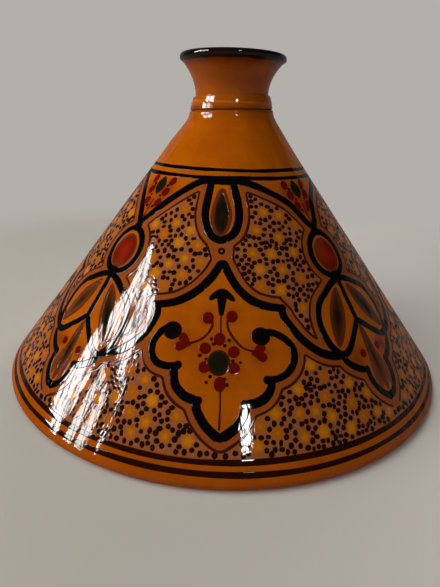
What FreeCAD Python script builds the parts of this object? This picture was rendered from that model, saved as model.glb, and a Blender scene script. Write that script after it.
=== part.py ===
# Tagine: a thrown conical lid standing on its own foot around the shallow dish that
# it covers, with a flared cup handle luted to its crown. Millimetres, +Z up, the axis
# of all three pieces on Z, and both feet on z = 0.
import FreeCAD, Part
import math
import os

# Driving dimensions of the lid
foot_radius = 150.0          # widest point of the rolled foot
foot_bevel = 1.3             # height of the trimmed bevel under the roll
foot_roll = 3.3              # height of the roll above that bevel
shoulder_radius = 48.8       # where the steep upper cone begins
shoulder_height = 136.1
cone_spread = 0.7685         # outward run of the painted cone for each mm down
shoulder_sweep = 330.0       # long arc that joins the two cones
wall = 7.4                   # thickness of the cone, measured level
foot_wall = 11.6             # from the widest point of the foot to the hollow
foot_rise = 11.0             # height of the thicker wall above the foot

# Collar, neck and cup handle
collar_radius = 26.3
collar_low = 169.2           # lower turned groove, on the seam where the handle is luted on
collar_high = 177.8          # upper turned groove
collar_shrink = 1.9          # how much narrower the collar is at its upper groove
root_radius = 27.3           # the cone rounds over into the lower groove from here
root_height = 166.4
groove_depth = 0.6
groove_half_width = 0.7
neck_radius = 22.8
cup_radius = 33.0            # widest point of the black lip
cup_height = 200.6
lip = 5.2                    # thickness of the black lip
lip_bevel = 1.3
lip_depth = 5.2              # height of the black lip over the end of the neck
lip_overhang = 2.0
neck_turns = (0.3, 0.55, 0.78, 1.0)   # where the tool was set again up the flaring neck
cup_floor = 180.5
crown_height = 163.0         # highest point of the hollow under the lid
crown_radius = 17.1          # radius of the hollow where its crown turns over

# Driving dimensions of the dish
dish_rim_height = 31.0
dish_gap = 5.5               # level gap between the dish's rim and the lid's wall
dish_foot_radius = 76.0
dish_foot_width = 9.0
dish_foot_height = 4.2
dish_foot_recess = 2.2
dish_floor = 9.2             # height of the eating surface
dish_wall = 5.4
trim = 1.2                   # bevel left by trimming a foot ring or a rim


def cone_radius(z):
    """Outer radius of the painted cone, carried on down or up to height z."""
    return shoulder_radius + cone_spread * (shoulder_height - z)


def rounded_outline(corners):
    """Closed wire of straight runs between the corners, each corner given as
    (radius, height, blend) and rounded by a tangent arc of that blend radius."""
    points = [FreeCAD.Vector(r, 0, z) for r, z, blend in corners]
    starts, middles, ends = [], [], []
    for i, (r, z, blend) in enumerate(corners):
        back = (points[i - 1] - points[i]).normalize()
        ahead = (points[(i + 1) % len(points)] - points[i]).normalize()
        half = back.getAngle(ahead) / 2
        reach = blend / math.tan(half)
        inward = (back + ahead).normalize()
        starts.append(points[i] + back * reach)
        middles.append(points[i] + inward * (blend / math.sin(half) - blend))
        ends.append(points[i] + ahead * reach)
    edges = []
    for i, (r, z, blend) in enumerate(corners):
        if blend:
            edges.append(Part.Arc(starts[i], middles[i], ends[i]).toShape())
        following = starts[(i + 1) % len(points)]
        if ends[i].distanceToPoint(following) > 1e-6:
            edges.append(Part.LineSegment(ends[i], following).toShape())
    return Part.Wire(edges)


def thrown(corners):
    """Solid of revolution about Z, as turned on a wheel."""
    face = Part.Face(rounded_outline(corners))
    return face.revolve(FreeCAD.Vector(0, 0, 0), FreeCAD.Vector(0, 0, 1), 360)


def groove(radius, height, depth):
    """V cut by the corner of a turning tool, from its lower to its upper edge."""
    return [
        (radius, height - groove_half_width, 0),
        (radius - depth, height, 0),
        (radius, height + groove_half_width, 0),
    ]


def conical_lid():
    inner_foot = foot_radius - foot_wall
    foot = [
        (foot_radius - 3.4, 0, 0),
        (foot_radius - 0.7, foot_bevel, 0),
        (foot_radius, foot_bevel + foot_roll / 2, 0),
        (cone_radius(foot_bevel + foot_roll), foot_bevel + foot_roll, 0),
    ]
    shoulder = [(shoulder_radius, shoulder_height, shoulder_sweep)]
    root = [(root_radius, root_height, 0)]
    seat = groove(collar_radius, collar_low, groove_depth)[:2] + [(0, collar_low, 0)]
    hollow = [
        (0, crown_height, 0),
        (crown_radius, crown_height, 9.0),
        (shoulder_radius - wall + 1.2, shoulder_height - 1.6, 0),
        (cone_radius(foot_rise) - wall, foot_rise, 0),
        (inner_foot, trim, 0),
        (inner_foot + trim, 0, 0),
    ]
    return thrown(foot + shoulder + root + seat + hollow)


def cup_handle():
    seat = [(0, collar_low, 0)] + groove(collar_radius, collar_low, groove_depth)[1:]
    collar = [
        (collar_radius - 0.4, collar_low + 3.8, 0),
        (collar_radius - 1.0, collar_low + 6.0, 0),
        (collar_radius - collar_shrink, collar_high - groove_half_width, 0),
    ]
    waist = neck_radius + 0.3
    flare = cup_radius - lip_overhang - waist
    rise = cup_height - lip_depth - collar_high - groove_half_width
    neck = groove(waist, collar_high, groove_depth / 2)[1:] + [
        (waist + flare * t * t, collar_high + groove_half_width + rise * t, 0)
        for t in neck_turns
    ]
    black_lip = [
        (cup_radius, cup_height - 4.0, 0),
        (cup_radius, cup_height - lip_bevel, 0),
        (cup_radius - lip_bevel, cup_height, 0),
        (cup_radius - lip + lip_bevel, cup_height, 0),
        (cup_radius - lip, cup_height - lip_bevel, 0),
    ]
    well = [
        (neck_radius - 0.9, cup_floor + 8.0, 0),
        (neck_radius - 4.5, cup_floor + 1.6, 0),
        (neck_radius - 8.0, cup_floor, 0),
        (0, cup_floor, 0),
    ]
    return thrown(seat + collar + neck + black_lip + well)


def base_dish():
    rim = cone_radius(dish_rim_height) - wall - dish_gap
    foot = dish_foot_radius
    outside = [
        (foot - trim, 0, 0),
        (foot, trim, 0),
        (foot + 1.5, dish_foot_height, 0),
        (foot + 16.0, dish_foot_height + 3.4, 0),
        (rim, dish_rim_height - 4.0, 0),
        (rim, dish_rim_height - trim, 0),
        (rim - trim, dish_rim_height, 0),
    ]
    inside = [
        (rim - dish_wall + trim, dish_rim_height, 0),
        (rim - dish_wall, dish_rim_height - trim, 0),
        (foot + 11.4, dish_floor + 2.2, 0),
        (foot + 2.4, dish_floor, 0),
        (0, dish_floor, 0),
    ]
    underside = [
        (0, dish_foot_recess, 0),
        (foot - dish_foot_width - trim, dish_foot_recess, 0),
        (foot - dish_foot_width, 0, 0),
    ]
    return thrown(outside + inside + underside)


os.makedirs("parts", exist_ok=True)
for make in (conical_lid, cup_handle, base_dish):
    name = make.__name__
    shape = make()
    if not shape.isValid() or len(shape.Solids) != 1:
        raise RuntimeError(name + " is not one valid solid")
    print(name, round(shape.Volume / 1000, 1), "cm3")
    shape.exportStep("parts/" + name + ".step")
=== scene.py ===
import math
import bpy
import numpy as np
from mathutils import Matrix, Vector


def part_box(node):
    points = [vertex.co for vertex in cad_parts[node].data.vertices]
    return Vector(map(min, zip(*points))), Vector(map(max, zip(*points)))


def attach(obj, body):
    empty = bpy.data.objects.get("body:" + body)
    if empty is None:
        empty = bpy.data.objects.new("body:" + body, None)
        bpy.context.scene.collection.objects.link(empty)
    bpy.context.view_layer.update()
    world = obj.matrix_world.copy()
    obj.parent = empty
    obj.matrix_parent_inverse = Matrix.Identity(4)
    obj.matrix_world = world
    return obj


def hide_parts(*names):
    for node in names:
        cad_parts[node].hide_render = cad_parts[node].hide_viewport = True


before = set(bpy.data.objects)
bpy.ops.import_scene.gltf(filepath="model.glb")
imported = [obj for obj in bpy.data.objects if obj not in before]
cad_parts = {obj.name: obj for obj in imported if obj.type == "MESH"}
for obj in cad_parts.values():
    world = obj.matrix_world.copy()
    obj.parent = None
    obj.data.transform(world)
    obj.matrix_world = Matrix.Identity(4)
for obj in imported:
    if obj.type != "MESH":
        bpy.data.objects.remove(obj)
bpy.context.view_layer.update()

# The pot is drawn in millimetres and degrees; meshes, shaders and the stage are in metres.
# On the painted cone a place is (turn, height): turn 0 faces the viewer, and turns grow to
# the viewer's right. The painting repeats in four panels of 90 degrees.
metre = 0.001
wholeTurn = 6.28  # radians, for random turns
rng = np.random.default_rng(14)  # seeded, so every run paints the same pot


def radiusAndTop(node):
    # how far a turned CAD node reaches from the axis, and up, in mm
    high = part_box(node)[1]
    return round(high.x / metre, 2), round(high.z / metre, 2)


lidRadius, lidTop = radiusAndTop("conical_lid")
cupRadius, cupTop = radiusAndTop("cup_handle")
dishTop = radiusAndTop("base_dish")[1]


def ramp(amount, start, end):
    # 0 at start and 1 at end, straight between them
    return np.clip((amount - start) / (end - start), 0, 1)


def unit(arrow):
    # the same direction, one long
    return arrow / np.hypot(*arrow)


def around(count):
    # angles of count points round a circle
    return np.arange(count) * 2 * np.pi / count


def arms(t):
    # unit arrows at the angles t
    return np.stack([np.cos(t), np.sin(t)], -1)


def countUp(sizes):
    # 0, 1, 2 and so on within each group of those sizes
    return np.arange(sizes.sum()) - np.repeat(np.cumsum(sizes) - sizes, sizes)


def dense(path, gap):
    # straight runs longer than gap get evenly spaced points between their ends
    run = np.diff(path, axis=0)
    steps = np.maximum(1, np.ceil(np.hypot(*run.T) / gap)).astype(int)
    share = countUp(steps) / np.repeat(steps, steps)
    between = np.repeat(path[:-1], steps, axis=0) + np.repeat(run, steps, axis=0) * share[:, None]
    return np.vstack([between, path[-1:]])


def turned(corners, gap=6.0, turnStep=0.16):
    # profile (radius, height) through corners (radius, height, blend): each corner gives way
    # to a tangent arc of radius blend, centred at blend / sin(half angle) along its bisector
    made = []
    for i, (r, z, blend) in enumerate(corners):
        here = np.array([r, z], float)
        if not blend:
            made.append(here[None])
            continue
        back = unit(np.array(corners[i - 1][:2], float) - here)
        ahead = unit(np.array(corners[i + 1][:2], float) - here)
        half = math.acos(float(np.clip(back @ ahead, -1, 1))) / 2
        middle = here + unit(back + ahead) * blend / math.sin(half)
        first = here + back * blend / math.tan(half) - middle
        last = here + ahead * blend / math.tan(half) - middle
        sweep = math.atan2(first[0] * last[1] - first[1] * last[0], first @ last)
        t = np.linspace(0, sweep, max(3, int(abs(sweep) / turnStep) + 2))[:, None]
        side = np.array([-first[1], first[0]])
        made.append(middle + first * np.cos(t) + side * np.sin(t))
    return dense(np.vstack(made), gap)


def lengths(line):
    # distance along the line at each of its points
    return np.r_[0, np.cumsum(np.hypot(*np.diff(line, axis=0).T))]


def pointsAt(line, along, at):
    # points at the distances at, on a line whose own points lie at the distances along
    return np.column_stack([np.interp(at, along, line[:, 0]), np.interp(at, along, line[:, 1])])


def evenly(line, gap, closed=False):
    # the same line with points a fixed length apart along it
    along = lengths(line)
    at = np.linspace(0, along[-1], max(3, int(round(along[-1] / gap))) + 1)
    return pointsAt(line, along, at[:-1] if closed else at)


def smoothPath(points, gap=1.2, closed=False):
    # Catmull-Rom curve through the points: on each span the cubic
    # p1 + t (p2-p0)/2 + t2 (2p0-5p1+4p2-p3)/2 + t3 (3p1-p0-3p2+p3)/2, then even spacing
    p = np.asarray(points, float)
    before, after = (p[-1], p[:2]) if closed else (2 * p[0] - p[1], 2 * p[-1] - p[-2])
    p = np.vstack([before, p, after])
    t = np.linspace(0, 1, 14, endpoint=False)[None, :, None]
    a, b, c, d = (q[:, None] for q in (p[:-3], p[1:-2], p[2:-1], p[3:]))
    line = b + t * (c - a) / 2 + t ** 2 * (2 * a - 5 * b + 4 * c - d) / 2
    line = line + t ** 3 * (3 * b - a - 3 * c + d) / 2
    return evenly(np.vstack([line.reshape(-1, 2), p[-2]]), gap, closed)


def addObject(name, data):
    # new object in the scene, at the origin
    made = bpy.data.objects.new(name, data)
    bpy.context.scene.collection.objects.link(made)
    return made


def makePiece(name, points, faces, values=None, body="lid", stands=()):
    # points in mm; faces is a list of integer arrays with one face to a row; values are
    # point attributes; stands are the CAD nodes that the piece replaces
    mesh = bpy.data.meshes.new(name)
    corners = [face for group in faces for face in group.tolist()]
    mesh.from_pydata((points * metre).tolist(), [], corners, shade_flat=False)
    for key, amounts in (values or {}).items():
        layer = mesh.attributes.new(key, "FLOAT", "POINT")
        layer.data.foreach_set("value", np.asarray(amounts, np.float32))
    mesh.validate()
    piece = addObject(name, mesh)
    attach(piece, body)
    if stands:
        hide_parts(*stands)
    return piece


def gridQuads(rows, columns):
    # faces of a grid that closes on itself along its columns: point (i, j) is i * columns + j
    i, j = np.meshgrid(np.arange(rows - 1), np.arange(columns), indexing="ij")
    k = (j + 1) % columns
    corner = (i * columns + j, (i + 1) * columns + j, (i + 1) * columns + k, i * columns + k)
    return np.stack(corner, -1).reshape(-1, 4)


def joinQuads(rows, columns):
    # faces from the last row of such a grid back to its first
    j, last = np.arange(columns), (rows - 1) * columns
    k = (j + 1) % columns
    return np.stack([last + j, j, k, last + k], -1)


def lathe(profile, turns, strayed=None):
    # surface of revolution: x = r sin(turn), y = -r cos(turn), z = height, for each row
    # (r, height) of the profile. Both ends lie on the axis and are one point each.
    turn, columns = np.radians(turns), len(turns)
    r, z = profile[1:-1, 0][:, None], profile[1:-1, 1][:, None]
    r = r - (strayed(turn[None], z) if strayed else 0)
    ring = np.stack([r * np.sin(turn), -r * np.cos(turn), z + 0 * turn], -1).reshape(-1, 3)
    poles = [[0, 0, profile[0, 1]], [0, 0, profile[-1, 1]]]
    j = np.arange(columns)
    k = (j + 1) % columns
    low = len(ring) - columns
    first = np.stack([np.full(columns, len(ring)), j, k], -1)
    last = np.stack([np.full(columns, len(ring) + 1), low + k, low + j], -1)
    return np.vstack([ring, poles]), [gridQuads(len(profile) - 2, columns), first, last]


lid = {
    "footRadius": lidRadius,
    "footCorner": 0.37,  # the foot's outermost corner stands out so far before it is rounded
    "shoulderRadius": 48.8,
    "shoulderHeight": 136.1,
    "shoulderBend": 330.0,  # radius of the long hollow curve at the shoulder
    "spread": 0.7685,  # outward run of the cone for each mm down
    "seam": lidTop,  # groove where the cup handle is luted on
    "collarRadius": 26.3,
    "rootRadius": 27.2,  # the cone rounds over into the seam from here
    "rootHeight": 165.0,
    "rootBend": 14.0,
    "wall": 7.4,
    "stand": 6.0,  # from the foot's edge to the middle of the ring it stands on
    "skirt": 11.0,  # the wall is thicker below this height
    "hollowTop": (17.1, 163.0),  # radius and height of the corner at the top of the hollow
    "columns": 480,  # the first one stands half a column past the turn -45
    "paintedRow": 1.6,  # gap between the rows of the painted cone
    "hollowRow": 14.0,
    "wobble": 0.10,  # how far the hand-turned cone strays inward
    "combing": 0.014,  # depth of the shallow combing down its glaze
}

# The unrolled cone: cut along one line and laid flat, the painted cone is a sector. A point
# at slant distance s from its tip and turned by `turn` lies at angle turn * sin(half angle)
# in the sheet, so lengths, offsets and discs drawn on the sheet keep their size on the pot.
lidTurns = (np.arange(lid["columns"]) + 0.5) * 360 / lid["columns"] - 45
slant = math.hypot(1, lid["spread"])
tipHeight = lid["shoulderHeight"] + lid["shoulderRadius"] / lid["spread"]
sheetTurn = lid["spread"] / slant


def toSheet(place):
    # (turn, height) to the flat sheet
    place = np.asarray(place, float)
    s = (tipHeight - place[..., 1]) * slant
    angle = np.radians(place[..., 0]) * sheetTurn
    return np.stack([s * np.sin(angle), s * np.cos(angle)], -1)


def fromSheet(spot):
    # flat sheet to (turn, height)
    s = np.hypot(spot[..., 0], spot[..., 1])
    turn = np.degrees(np.arctan2(spot[..., 0], spot[..., 1])) / sheetTurn
    return np.stack([turn, tipHeight - s / slant], -1)


def curve(places, gap=1.2, closed=False):
    # smooth line on the sheet through places
    return smoothPath(toSheet(places), gap, closed)


def lidOutside():
    # the outside of the cone from the foot to the seam, with the roll of its foot
    foot, collar, seam = lid["footRadius"], lid["collarRadius"], lid["seam"]
    return turned([
        (foot - 12.0, 0.0, 0), (foot - 3.2, 0.0, 1.6), (foot - 0.5, 1.4, 1.2),
        (foot + lid["footCorner"], 3.9, 3.0),
        (lid["shoulderRadius"], lid["shoulderHeight"], lid["shoulderBend"]),
        (lid["rootRadius"], lid["rootHeight"], lid["rootBend"]),
        (collar + 0.4, seam - 0.7, 0.5), (collar - 0.6, seam, 0),
    ], lid["paintedRow"])


outerLine = lidOutside()
rising = outerLine[outerLine[:, 1] > 4.2]  # above the roll of the foot


def strayFrom(turn, z):
    # slow in-and-out wander of a hand-turned cone, a sum of three sines, and the shallow combing
    # of its glaze, three quicker sines that lean as they run down; never outward. Both fade
    # towards the foot and the seam.
    seam = lid["seam"]
    wave = 0.5 * np.sin(2 * turn + 0.7) + 0.3 * np.sin(3 * turn - 1.1 + z / 31)
    wave = wave + 0.2 * np.sin(5 * turn + z / 17)
    comb = np.sin(41 * turn + z / 11) + 0.8 * np.sin(67 * turn + z / 8 + 2)
    comb = comb + 0.6 * np.sin(97 * turn + z / 13 + 4)
    slow = lid["wobble"] * (1 + wave) * ramp(z, 6, 31) * ramp(z, seam, seam - 25)
    return slow + lid["combing"] * (2.4 + comb) * ramp(z, 5, 10) * ramp(z, seam, seam - 8)


def onLid(place, lift):
    # point of the painted cone at (turn, height), raised by lift along the outward normal
    turn, z = np.radians(place[..., 0]), place[..., 1]
    r = np.interp(z, rising[:, 1], rising[:, 0]) - strayFrom(turn, z)
    out = r + lift / slant
    return np.stack([out * np.sin(turn), -out * np.cos(turn), z + lift * sheetTurn], -1)


print("cone laid out")

# The drawing of one panel. Places are (turn, height) in the panel that faces the viewer, from
# -45 to 45. The two neighbours are its mirror images, so the chains between panels always meet.
drawing = {
    "thick": 5.3,  # width of the trailed black lines
    "chain": 4.7,  # of those in the chains
    "scroll": 4.4,  # and of the two scrolls in the shield
    "join": 2.3,  # radius of the drop of slip where two lines meet
    "thickRise": 0.022,  # height of those lines over the glaze
    "uneven": 0.07,  # share by which their width swells and thins
    "thin": 1.6,  # width of the brown brush lines
    "thinRise": 0.02,
    "thinUneven": 0.2,
    "rim": 2.2,  # width of the brown wash round a leaf
    "rimRise": 0.035,
    "fillRise": 0.02,
    "sunk": 0.03,  # how far the edges of a line reach down into the glaze
    "fillSunk": 0.01,
    "margin": 5.7,  # from the middle of a black line to the brown line beside it
}

arch = [
    (-45, 104.4), (-43, 107.8), (-40, 111.7), (-35, 117.2), (-30, 121.7), (-25, 125.5), (-20, 128.6),
    (-15, 130.3), (-8, 130.7), (0, 130.6), (9, 130.5), (15, 129), (20, 127.1), (25, 124.9), (30, 122.4),
    (35, 118.9), (38, 115), (40.3, 111.7), (42, 108.7), (45, 105.8),
]
loop = [
    (-10.3, 130), (-10.8, 122), (-10.9, 115), (-9.5, 109.1), (-6.8, 104.5), (-2.5, 102), (2.4, 104.7),
    (4.8, 109.1), (5.7, 115), (4.9, 122), (2.8, 130),
]
apex = (-1.2, 92.9)
roofLeft = [
    apex, (-2.5, 89.6), (-4.6, 85.2), (-7.8, 80.2), (-10.9, 76.6), (-14.9, 73.2), (-18.9, 71.3),
    (-21.8, 70.4),
]
roofRight = [
    apex, (0.4, 89.1), (2.6, 84.2), (4.7, 80.2), (7.7, 76.4), (10.8, 73.9), (14.9, 72.2), (18.3, 71.4),
]
sideLeft = [
    (-21.8, 70.4), (-20.5, 68.6), (-20.2, 66), (-21, 62), (-22, 57.9), (-24.2, 53.3), (-27, 49),
    (-30, 46.1), (-34.2, 43),
]
sideRight = [
    (18.3, 71.4), (18, 69.3), (18.7, 66.3), (20, 63), (21.7, 58.7), (23.7, 55), (26.2, 51.4),
    (28.8, 48.9), (31.8, 47.4), (35, 46.8),
]
scrollLeft = [
    (-14.9, 62.4), (-16.7, 60.7), (-18.3, 57.6), (-18.9, 53.8), (-18.3, 49.9), (-16.6, 47.1), (-14.5, 46.3),
    (-12.6, 46.5), (-10.9, 47.3),
]
scrollRight = [
    (11.4, 62), (14.3, 61.2), (16.8, 59), (18.6, 55.9), (19.2, 52), (18.3, 47.9), (16.2, 44.4),
    (13.6, 42.8), (11.1, 42.6),
]
keelLeft = [
    (-10.9, 47.3), (-11.5, 45.6), (-11.4, 42.5), (-10.4, 38.8), (-8.6, 36.1), (-6.9, 34.9), (-5, 34.4),
]
keelRight = [(11.1, 42.6), (11.9, 41), (11.2, 37.7), (9.7, 35.3), (7.6, 33.8), (5.4, 33.6)]
tipLeft = [(-5, 34.4), (-5.3, 32), (-4.3, 28.5), (-2.9, 25.1), (-1.1, 22.2), (0.2, 20.6)]
tipRight = [(5.4, 33.6), (5.4, 31), (4.4, 27.5), (2.9, 24.2), (0.2, 20.6)]
panelLines = [arch, loop, roofLeft, roofRight, sideLeft, sideRight, keelLeft, keelRight, tipLeft, tipRight]
panelJoins = [(-1.2, 91.4), (0.2, 21.2)] + [part[0] for part in (
    sideLeft, sideRight, keelLeft, keelRight, tipLeft, tipRight)]

shield = {
    "arrowhead": [
        (-5.2, 75.4), (-4.5, 77.4), (-2.7, 79.6), (-0.8, 80.6), (1.2, 79.7), (3.0, 77.4), (3.8, 75.2),
        (2.6, 74.8), (0.9, 76), (-0.7, 76.2), (-2.4, 76), (-4.0, 75),
    ],
    "arrowStem": [
        (-2.3, 77), (0.7, 77), (0.6, 74), (0.3, 71), (-0.2, 68.6), (-1.2, 68.6), (-1.7, 71), (-2.1, 74),
    ],
    "hangingLeaf": [
        (-3.4, 126.6), (-6.0, 121.5), (-7.1, 115.5), (-6.6, 109.6), (-4.3, 105.3), (-2.6, 104.5),
        (-0.9, 105.4), (1.0, 109.9), (1.4, 115.5), (-0.6, 121.5),
    ],
    "stalks": [  # width and places
        (1.3, [(-0.7, 70), (-0.7, 65), (-0.5, 59)]),
        (1.3, [(-0.2, 40), (0, 32), (-0.1, 23.8)]),
        (1.6, [(-4.3, 67), (-3.2, 66), (-3.2, 64), (-4, 61.5), (-5.5, 59), (-7.5, 57.2), (-9.5, 56.3)]),
        (1.6, [(2.3, 68), (1.2, 66.6), (1.3, 64), (2.3, 61), (4, 57.6), (6, 55.2), (8.5, 54)]),
    ],
    "hearts": [((-10.6, 56.6), -72), ((9.8, 53.5), 78)],  # place and lean
    "heartSize": (5.2, 5.0),
    "berries": [  # place, and height over width
        ((-4.5, 67.6), 1.08), ((2.5, 68.6), 1.08), ((-0.8, 59), 1.1), ((-4.5, 55), 1), ((3, 54), 1),
        ((-4.3, 47.5), 1), ((3, 47.5), 1), ((-0.3, 41.2), 1.25),
    ],
    "berryRadius": 3.15,
    "roundel": ((-0.8, 49.5), 5.4, 30, 1.13),
    "roundelRim": 1.1,
    "dots": [
        (-3.1, 59), (1.8, 58.7), (-2.3, 57), (0.6, 56.5), (-5.7, 52), (-4, 50.7), (2.8, 50.4), (4.7, 49.8),
        (-2.7, 44), (0.8, 43.3), (-3.5, 41.6), (1.4, 41),
    ],
    "dotRadius": 1.15,
    "scrollEnds": [(-14.2, 60.9), (10.5, 60.2)],
    "scrollEndRadius": 5.2,
    "ring": ((-1.7, 97.1), 1.35, 12),  # the little ring over the shield, and its width
    "ringWidth": 1.7,
}

# the chain between two panels: (turn from the middle of the chain, height)
leafLoop = [
    (0, 79.2), (4.7, 77.1), (8.7, 74), (12.8, 70), (14.9, 64.5), (15.2, 58), (14.2, 51), (12.3, 46.6),
    (10.6, 45), (8.3, 46), (6, 49), (3, 53.3), (0, 57.5),
]
tulip = [(11, 45), (10.9, 42.6), (9.3, 39.8), (7, 37.3), (4.6, 35.9)]
tulipTip = [(4.6, 35.9), (4.7, 32), (3.8, 27.6), (2, 23.8), (0, 21)]
chainJoins = [(0, 22.4), leafLoop[8], tulipTip[0]]
links = {
    "ring": ((0, 91.6), 8.4, 11.1),  # middle, half turn and half height
    "middleLine": [(0, 80.5), (0, 68), (0, 57)],
    "roundel": ((0, 91.0), 5.7, 8.0, 32),
    "roundelRim": 1.8,
    "knots": [(103.8, 3.6), (80.1, 4.2)],  # height and radius
    "leaf": ((3.4, 74.3), (11.4, 48.8), 4.9),  # two tips and half the width
    "tint": ((2.2, 41), (2.0, 23), 2.4, 28),
    "stalk": ((0, 54.5), (0, 25), 3.1),
    "berry": ((3.7, 42.6), 2.5),
    "sprigLeaf": ((0, 131), (0, 120.5), 4.2, 28),
    "sprigStem": [(0, 118.5), (0, 108)],
    "sprigBerries": [((8.4, 128.4), 2.7), ((6.6, 122.8), 2.8), ((4.6, 117.0), 2.7)],
    "sprigDots": [(5.9, 126), (3.8, 120.4), (2.2, 114.6)],
    "sprigDotRadius": 1.2,
    # how high those on side 1 sit, and low those on side -1, at each height
    "sway": ([0, 14, 45, 80, 92, 131], [0, 0.2, 2.0, 1.0, 0.8, 0]),
}


def chainPlace(points, side, hand=1):
    # chain places to panel places: side 1 is the chain at turn 45, and hand 1 the half of it
    # that lies in this panel. The chains were drawn by eye, so each sways a little up or down.
    p = np.asarray(points, float)
    sway = side * np.interp(p[..., 1], *links["sway"])
    return np.stack([side * (45 - hand * p[..., 0]), p[..., 1] + sway], -1)


def oval(middle, halfTurn, halfHeight, count=40, start=0.0, stop=360.0):
    # turn = middle + halfTurn sin t, height = middle + halfHeight cos t
    t = np.radians(np.linspace(start, stop, count, endpoint=stop - start < 359.9))
    return np.array(middle) + np.column_stack([halfTurn * np.sin(t), halfHeight * np.cos(t)])


def almond(top, bottom, halfWidth, count=36):
    # closed leaf on the sheet between two tips: at share t of the way, its half width is
    # halfWidth sin(pi t) ** 0.8
    a, b = toSheet(top), toSheet(bottom)
    axis = unit(b - a)
    t = np.linspace(0, 1, count // 2 + 1)
    middle = a + (b - a) * t[:, None]
    out = np.array([-axis[1], axis[0]]) * (halfWidth * np.sin(np.pi * t) ** 0.8)[:, None]
    return np.vstack([(middle + out)[:-1], (middle - out)[:0:-1]])


def blob(place, radius, count=20, stretch=1.0, lobes=0.0, lobeCount=5, phase=0.0):
    # closed outline on the sheet: radius (1 + lobes cos(lobeCount t + phase)), height stretched
    t = around(count)
    r = radius * (1 + lobes * np.cos(lobeCount * t + phase))
    return toSheet(place) + arms(t) * r[:, None] * (1, stretch)


def heart(place, width, height, lean, count=28):
    # closed heart on the sheet: x = sin t ** 3, y = (13 cos t - 5 cos 2t - 2 cos 3t - cos 4t) / 16
    t = around(count)
    x = width * np.sin(t) ** 3
    y = height * (13 * np.cos(t) - 5 * np.cos(2 * t) - 2 * np.cos(3 * t) - np.cos(4 * t)) / -16
    c, s = math.cos(math.radians(lean)), math.sin(math.radians(lean))
    return toSheet(place) + np.column_stack([c * x - s * y, s * x + c * y])


def panelStrokes():
    # black lines of one panel, as (line on the sheet, width, closed)
    made = [(curve(p), drawing["thick"], False) for p in panelLines]
    made += [(curve(p), drawing["scroll"], False) for p in (scrollLeft, scrollRight)]
    return made + [(smoothPath(blob(*shield["ring"]), 0.8, True), shield["ringWidth"], True)]


def chainStrokes(side):
    # black lines of the chain at turn side * 45, both halves, in this panel's places
    width = drawing["chain"]
    made = [(curve(chainPlace(oval(*links["ring"]), side), closed=True), width, True)]
    for hand in (1, -1):
        for part in (leafLoop, tulip, tulipTip):
            made.append((curve(chainPlace(part, side, hand)), width, False))
    return made + [(curve(chainPlace(links["middleLine"], side)), width, False)]


# the dotted fields between the black lines
field = {
    "bottom": 14.6,  # they end here, over the bottom bands
    "tries": 45000,
    "triesFrom": 14,  # least height of a try, and how much higher they reach
    "triesReach": 116,
    "crowding": 1.25,  # above 1, more of the tries fall low down, where the cone is wide
    "dotMargin": 1.5,  # clear of the brown lines
    "dotRadius": 1.92,
    "dotRise": 0.008,
    "dotGap": 2.75,  # least distance between the middles of two dots
    "dotClear": 4.7,  # and from the middle of a flower
    "ringCount": 8,  # dots in the loose ring round a flower
    "ringRadius": 4.8,
    "ringSpread": (0.09, 0.24),  # how far they stray, in radians and in mm
    "ringCloser": 0.93,  # they may stand closer than dotGap by this share
    "ringClear": 4.2,
    "flowerMargin": 3.3,
    "flowerLow": 2.6,  # least height of a flower over the bottom
    "flowerRadius": 3.6,
    "flowerRise": 0.005,
    "flowerGap": 9.0,
}


def upperField(roof, sideLine, side):
    # boundary of the field on one side of the hanging loop, through the middles of its lines
    a, l = np.array(arch), np.array(loop)
    outer = a[a[:, 0] * side > 6][::side]
    low = len(l) // 2
    inner = l[low:] if side > 0 else l[:low + 1][::-1]
    ring = chainPlace(oval(*links["ring"], 24, 0, 180), side)
    leaf = chainPlace(leafLoop[:9], side)
    parts = [outer, ring, leaf, sideLine[::-1], roof[::-1], inner]
    return np.vstack([curve(p, 1.0) for p in parts])


def lowerEdge():
    # upper boundary of the bottom field, from turn -45 to 45
    left = [chainPlace(tulipTip, -1)[::-1], chainPlace(tulip, -1)[::-1], sideLeft[:4:-1], scrollLeft[2:],
            keelLeft, tipLeft]
    right = [tipRight[::-1], keelRight[::-1], scrollRight[:2:-1], sideRight[4:],
             chainPlace(tulip, 1), chainPlace(tulipTip, 1)]
    return np.vstack([curve(p, 1.0) for p in left + right])


def nearest(spots, walls, block=4000):
    # distance from each spot to the nearest wall point, a block of spots at a time
    out = np.empty(len(spots))
    for k in range(0, len(spots), block):
        part = spots[k:k + block]
        square = (part ** 2).sum(1)[:, None] + (walls ** 2).sum(1)[None] - 2 * part @ walls.T
        out[k:k + block] = np.sqrt(np.maximum(square.min(1), 0))
    return out


def inside(spots, border):
    # even-odd rule: a spot is inside when a level line from it crosses the border an odd
    # number of times
    a, b = border, np.roll(border, -1, 0)
    x, y = spots[:, 0][:, None], spots[:, 1][:, None]
    spans = (a[:, 1] > y) != (b[:, 1] > y)
    climb = np.where(a[:, 1] == b[:, 1], 1, b[:, 1] - a[:, 1])
    reach = a[:, 0] + (y - a[:, 1]) / climb * (b[:, 0] - a[:, 0])
    return (spans & (x < reach)).sum(1) % 2 == 1


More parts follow.
